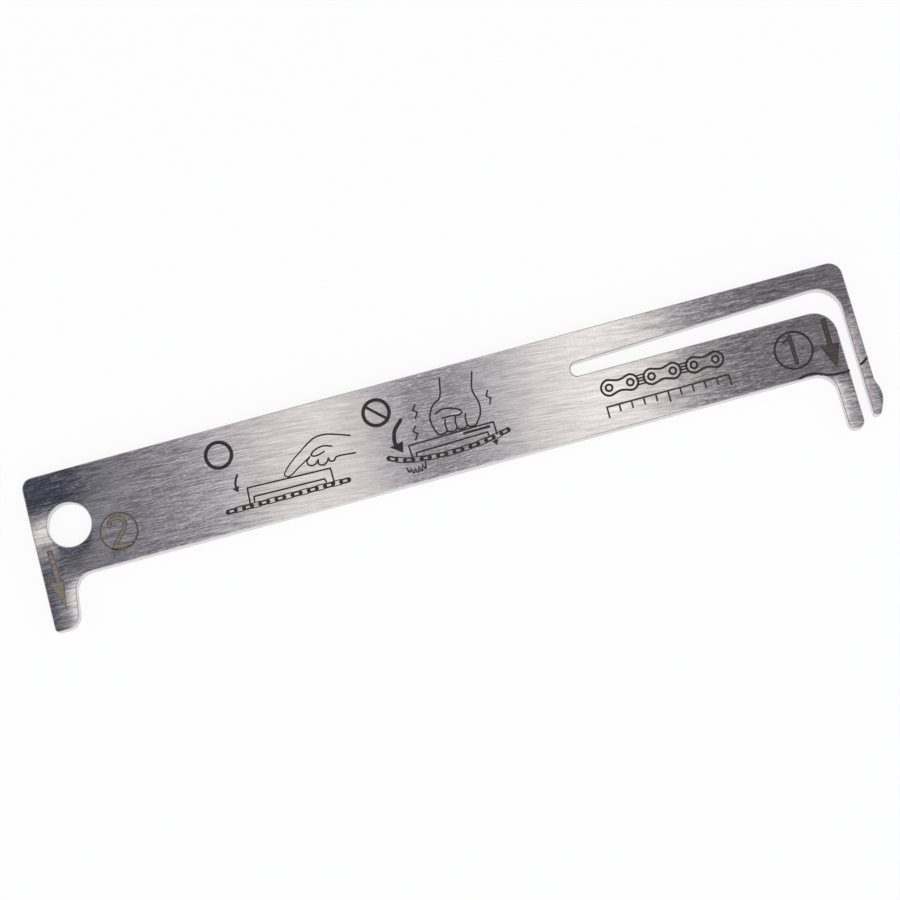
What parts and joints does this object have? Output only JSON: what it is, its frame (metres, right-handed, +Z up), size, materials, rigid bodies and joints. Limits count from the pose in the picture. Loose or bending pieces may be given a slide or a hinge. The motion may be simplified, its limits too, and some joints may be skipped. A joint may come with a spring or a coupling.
{
  "type": "chain wear gauge",
  "caption": "Flat blanked steel gauge blade with a tail hook, a fixed prong, a sprung prong freed by a long slot, and a hanging hole.",
  "frame": {"origin": "centre of the overall box, on the face that the blade lies on", "axes": "+X along the blade from the tail hook to the sprung prong, +Y from the hooks to the back edge, +Z up out of the marked face"},
  "size_m": [0.1344, 0.0268, 0.002],
  "materials": {
    "steel": "tumbled and finely brushed along its length",
    "laser_mark": "dark, slightly brown annealed laser marking on the upper face"
  },
  "bodies": {
    "root": {"blade": "steel"}
  },
  "joints": []
}
